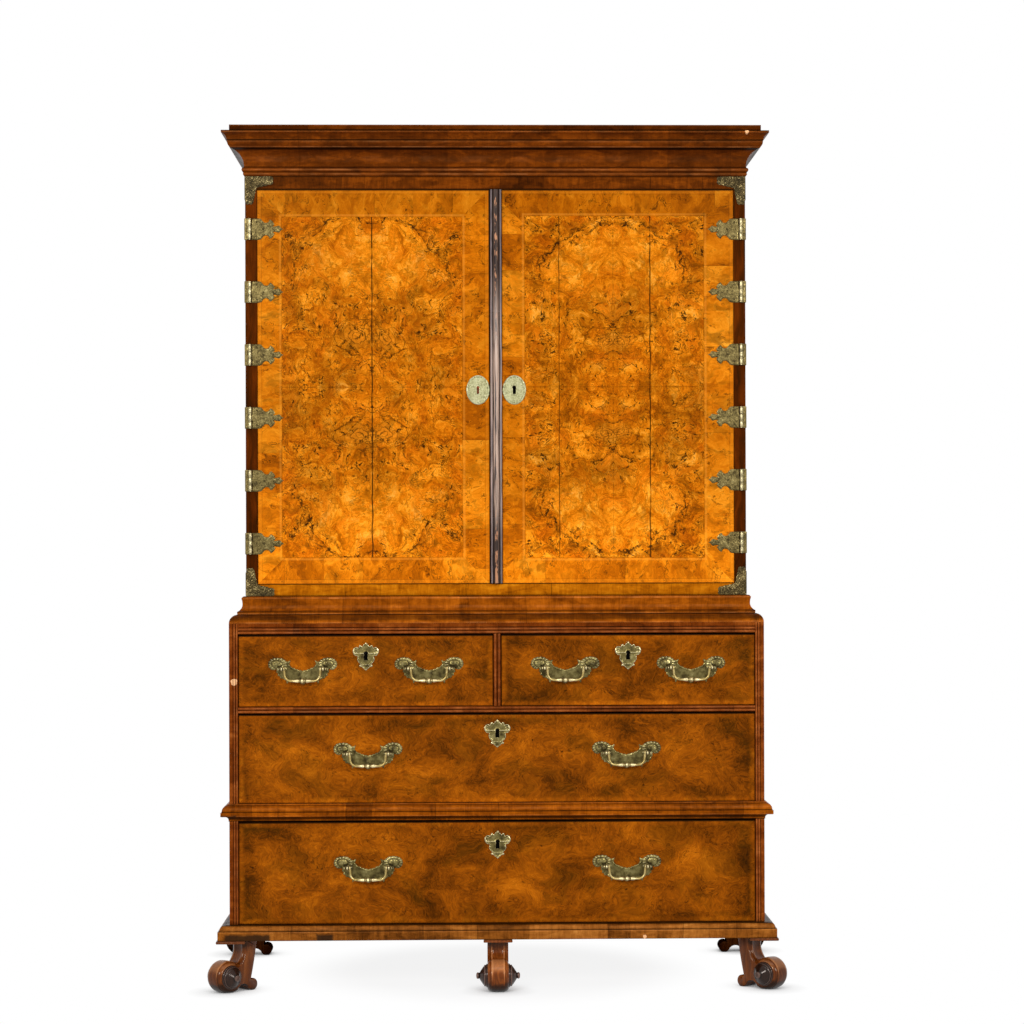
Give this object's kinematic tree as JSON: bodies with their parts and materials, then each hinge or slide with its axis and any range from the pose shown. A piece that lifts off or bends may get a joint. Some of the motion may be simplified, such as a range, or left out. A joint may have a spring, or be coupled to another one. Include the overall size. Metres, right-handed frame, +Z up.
{
  "type": "cabinet on chest",
  "caption": "Walnut cabinet on chest with burr-veneered hinged doors over drawers, brass bail handles, engraved hinges and corner mounts, moulded cornice and waist, on carved scroll feet.",
  "frame": {"origin": "on the floor, under the middle of the overall box", "axes": "+X to the viewer's right when facing the doors, +Y from front to back, +Z up"},
  "size_m": [1.176, 0.582, 1.728],
  "materials": {
    "burr_walnut": "polished burr veneer",
    "walnut_veneer": "polished veneer",
    "walnut_moulding": "polished solid walnut",
    "ebonised_wood": "dark polished",
    "oak": "bare, waxed",
    "pine": "bare, aged",
    "brass": "aged, engraved",
    "iron": "dark, filed"
  },
  "bodies": {
    "carcase": {"cabinet_left_side": "walnut_veneer", "cabinet_right_side": "walnut_veneer", "cabinet_top": "walnut_veneer", "cabinet_bottom": "walnut_veneer", "cabinet_back": "pine", "cabinet_shelves": "oak", "shelf_bearers": "oak", "cornice": "walnut_moulding", "cornice_dust_board": "pine", "corner_mounts": "brass", "cabinet_hinge_leaves": "brass", "hinge_pins": "brass", "chest_left_side": "walnut_veneer", "chest_right_side": "walnut_veneer", "chest_top": "pine", "chest_bottom": "pine", "chest_back": "pine", "waist_moulding": "walnut_moulding", "middle_moulding": "walnut_moulding", "base_moulding": "walnut_moulding", "drawer_rails": "pine", "top_drawer_divider": "pine", "dust_boards": "pine", "drawer_stops": "pine", "edge_beading": "walnut_moulding", "scroll_feet": "walnut_moulding", "foot_caps": "walnut_moulding", "foot_bosses": "walnut_moulding"},
    "left_door": {"left_door": "burr_walnut", "left_door_hinge_leaves": "brass", "left_door_escutcheon": "brass", "left_door_bolt_guides": "iron"},
    "left_door_top_bolt": {"left_door_top_bolt": "iron"},
    "left_door_bottom_bolt": {"left_door_bottom_bolt": "iron"},
    "right_door": {"right_door": "burr_walnut", "right_door_hinge_leaves": "brass", "right_door_escutcheon": "brass", "right_door_astragal": "ebonised_wood", "right_door_lock": "iron"},
    "top_left_drawer": {"top_left_drawer_front": "walnut_veneer", "top_left_drawer_box": "oak", "top_left_drawer_brasses": "brass"},
    "top_left_drawer_left_bail": {"top_left_drawer_left_bail": "brass"},
    "top_left_drawer_right_bail": {"top_left_drawer_right_bail": "brass"},
    "top_right_drawer": {"top_right_drawer_front": "walnut_veneer", "top_right_drawer_box": "oak", "top_right_drawer_brasses": "brass"},
    "top_right_drawer_left_bail": {"top_right_drawer_left_bail": "brass"},
    "top_right_drawer_right_bail": {"top_right_drawer_right_bail": "brass"},
    "middle_drawer": {"middle_drawer_front": "walnut_veneer", "middle_drawer_box": "oak", "middle_drawer_brasses": "brass"},
    "middle_drawer_left_bail": {"middle_drawer_left_bail": "brass"},
    "middle_drawer_right_bail": {"middle_drawer_right_bail": "brass"},
    "bottom_drawer": {"bottom_drawer_front": "walnut_veneer", "bottom_drawer_box": "oak", "bottom_drawer_brasses": "brass"},
    "bottom_drawer_left_bail": {"bottom_drawer_left_bail": "brass"},
    "bottom_drawer_right_bail": {"bottom_drawer_right_bail": "brass"}
  },
  "joints": [
    {"name": "left_door_hinge", "type": "hinge", "parent": "carcase", "child": "left_door", "pos_m": [-0.494, -0.2108, 1.20875], "axis": [0, 0, -1], "range_deg": [0, 180]},
    {"name": "right_door_hinge", "type": "hinge", "parent": "carcase", "child": "right_door", "pos_m": [0.494, -0.2108, 1.20875], "axis": [0, 0, 1], "range_deg": [0, 180]},
    {"name": "left_door_top_bolt_slide", "type": "slide", "parent": "left_door", "child": "left_door_top_bolt", "axis": [0, 0, 1], "range_m": [0, 0.012]},
    {"name": "left_door_bottom_bolt_slide", "type": "slide", "parent": "left_door", "child": "left_door_bottom_bolt", "axis": [0, 0, -1], "range_m": [0, 0.012]},
    {"name": "top_left_drawer_slide", "type": "slide", "parent": "carcase", "child": "top_left_drawer", "axis": [0, -1, 0], "range_m": [0, 0.38]},
    {"name": "top_left_drawer_left_bail_hinge", "type": "hinge", "parent": "top_left_drawer", "child": "top_left_drawer_left_bail", "pos_m": [-0.3882, -0.254, 0.643], "axis": [-1, 0, 0], "range_deg": [-15, 95]},
    {"name": "top_left_drawer_right_bail_hinge", "type": "hinge", "parent": "top_left_drawer", "child": "top_left_drawer_right_bail", "pos_m": [-0.1362, -0.254, 0.643], "axis": [-1, 0, 0], "range_deg": [-15, 95]},
    {"name": "top_right_drawer_slide", "type": "slide", "parent": "carcase", "child": "top_right_drawer", "axis": [0, -1, 0], "range_m": [0, 0.38]},
    {"name": "top_right_drawer_left_bail_hinge", "type": "hinge", "parent": "top_right_drawer", "child": "top_right_drawer_left_bail", "pos_m": [0.1362, -0.254, 0.643], "axis": [-1, 0, 0], "range_deg": [-15, 95]},
    {"name": "top_right_drawer_right_bail_hinge", "type": "hinge", "parent": "top_right_drawer", "child": "top_right_drawer_right_bail", "pos_m": [0.3882, -0.254, 0.643], "axis": [-1, 0, 0], "range_deg": [-15, 95]},
    {"name": "middle_drawer_slide", "type": "slide", "parent": "carcase", "child": "middle_drawer", "axis": [0, -1, 0], "range_m": [0, 0.38]},
    {"name": "middle_drawer_left_bail_hinge", "type": "hinge", "parent": "middle_drawer", "child": "middle_drawer_left_bail", "pos_m": [-0.2585, -0.254, 0.473], "axis": [-1, 0, 0], "range_deg": [-15, 95]},
    {"name": "middle_drawer_right_bail_hinge", "type": "hinge", "parent": "middle_drawer", "child": "middle_drawer_right_bail", "pos_m": [0.2585, -0.254, 0.473], "axis": [-1, 0, 0], "range_deg": [-15, 95]},
    {"name": "bottom_drawer_slide", "type": "slide", "parent": "carcase", "child": "bottom_drawer", "axis": [0, -1, 0], "range_m": [0, 0.38]},
    {"name": "bottom_drawer_left_bail_hinge", "type": "hinge", "parent": "bottom_drawer", "child": "bottom_drawer_left_bail", "pos_m": [-0.2585, -0.254, 0.246], "axis": [-1, 0, 0], "range_deg": [-15, 95]},
    {"name": "bottom_drawer_right_bail_hinge", "type": "hinge", "parent": "bottom_drawer", "child": "bottom_drawer_right_bail", "pos_m": [0.2585, -0.254, 0.246], "axis": [-1, 0, 0], "range_deg": [-15, 95]}
  ]
}
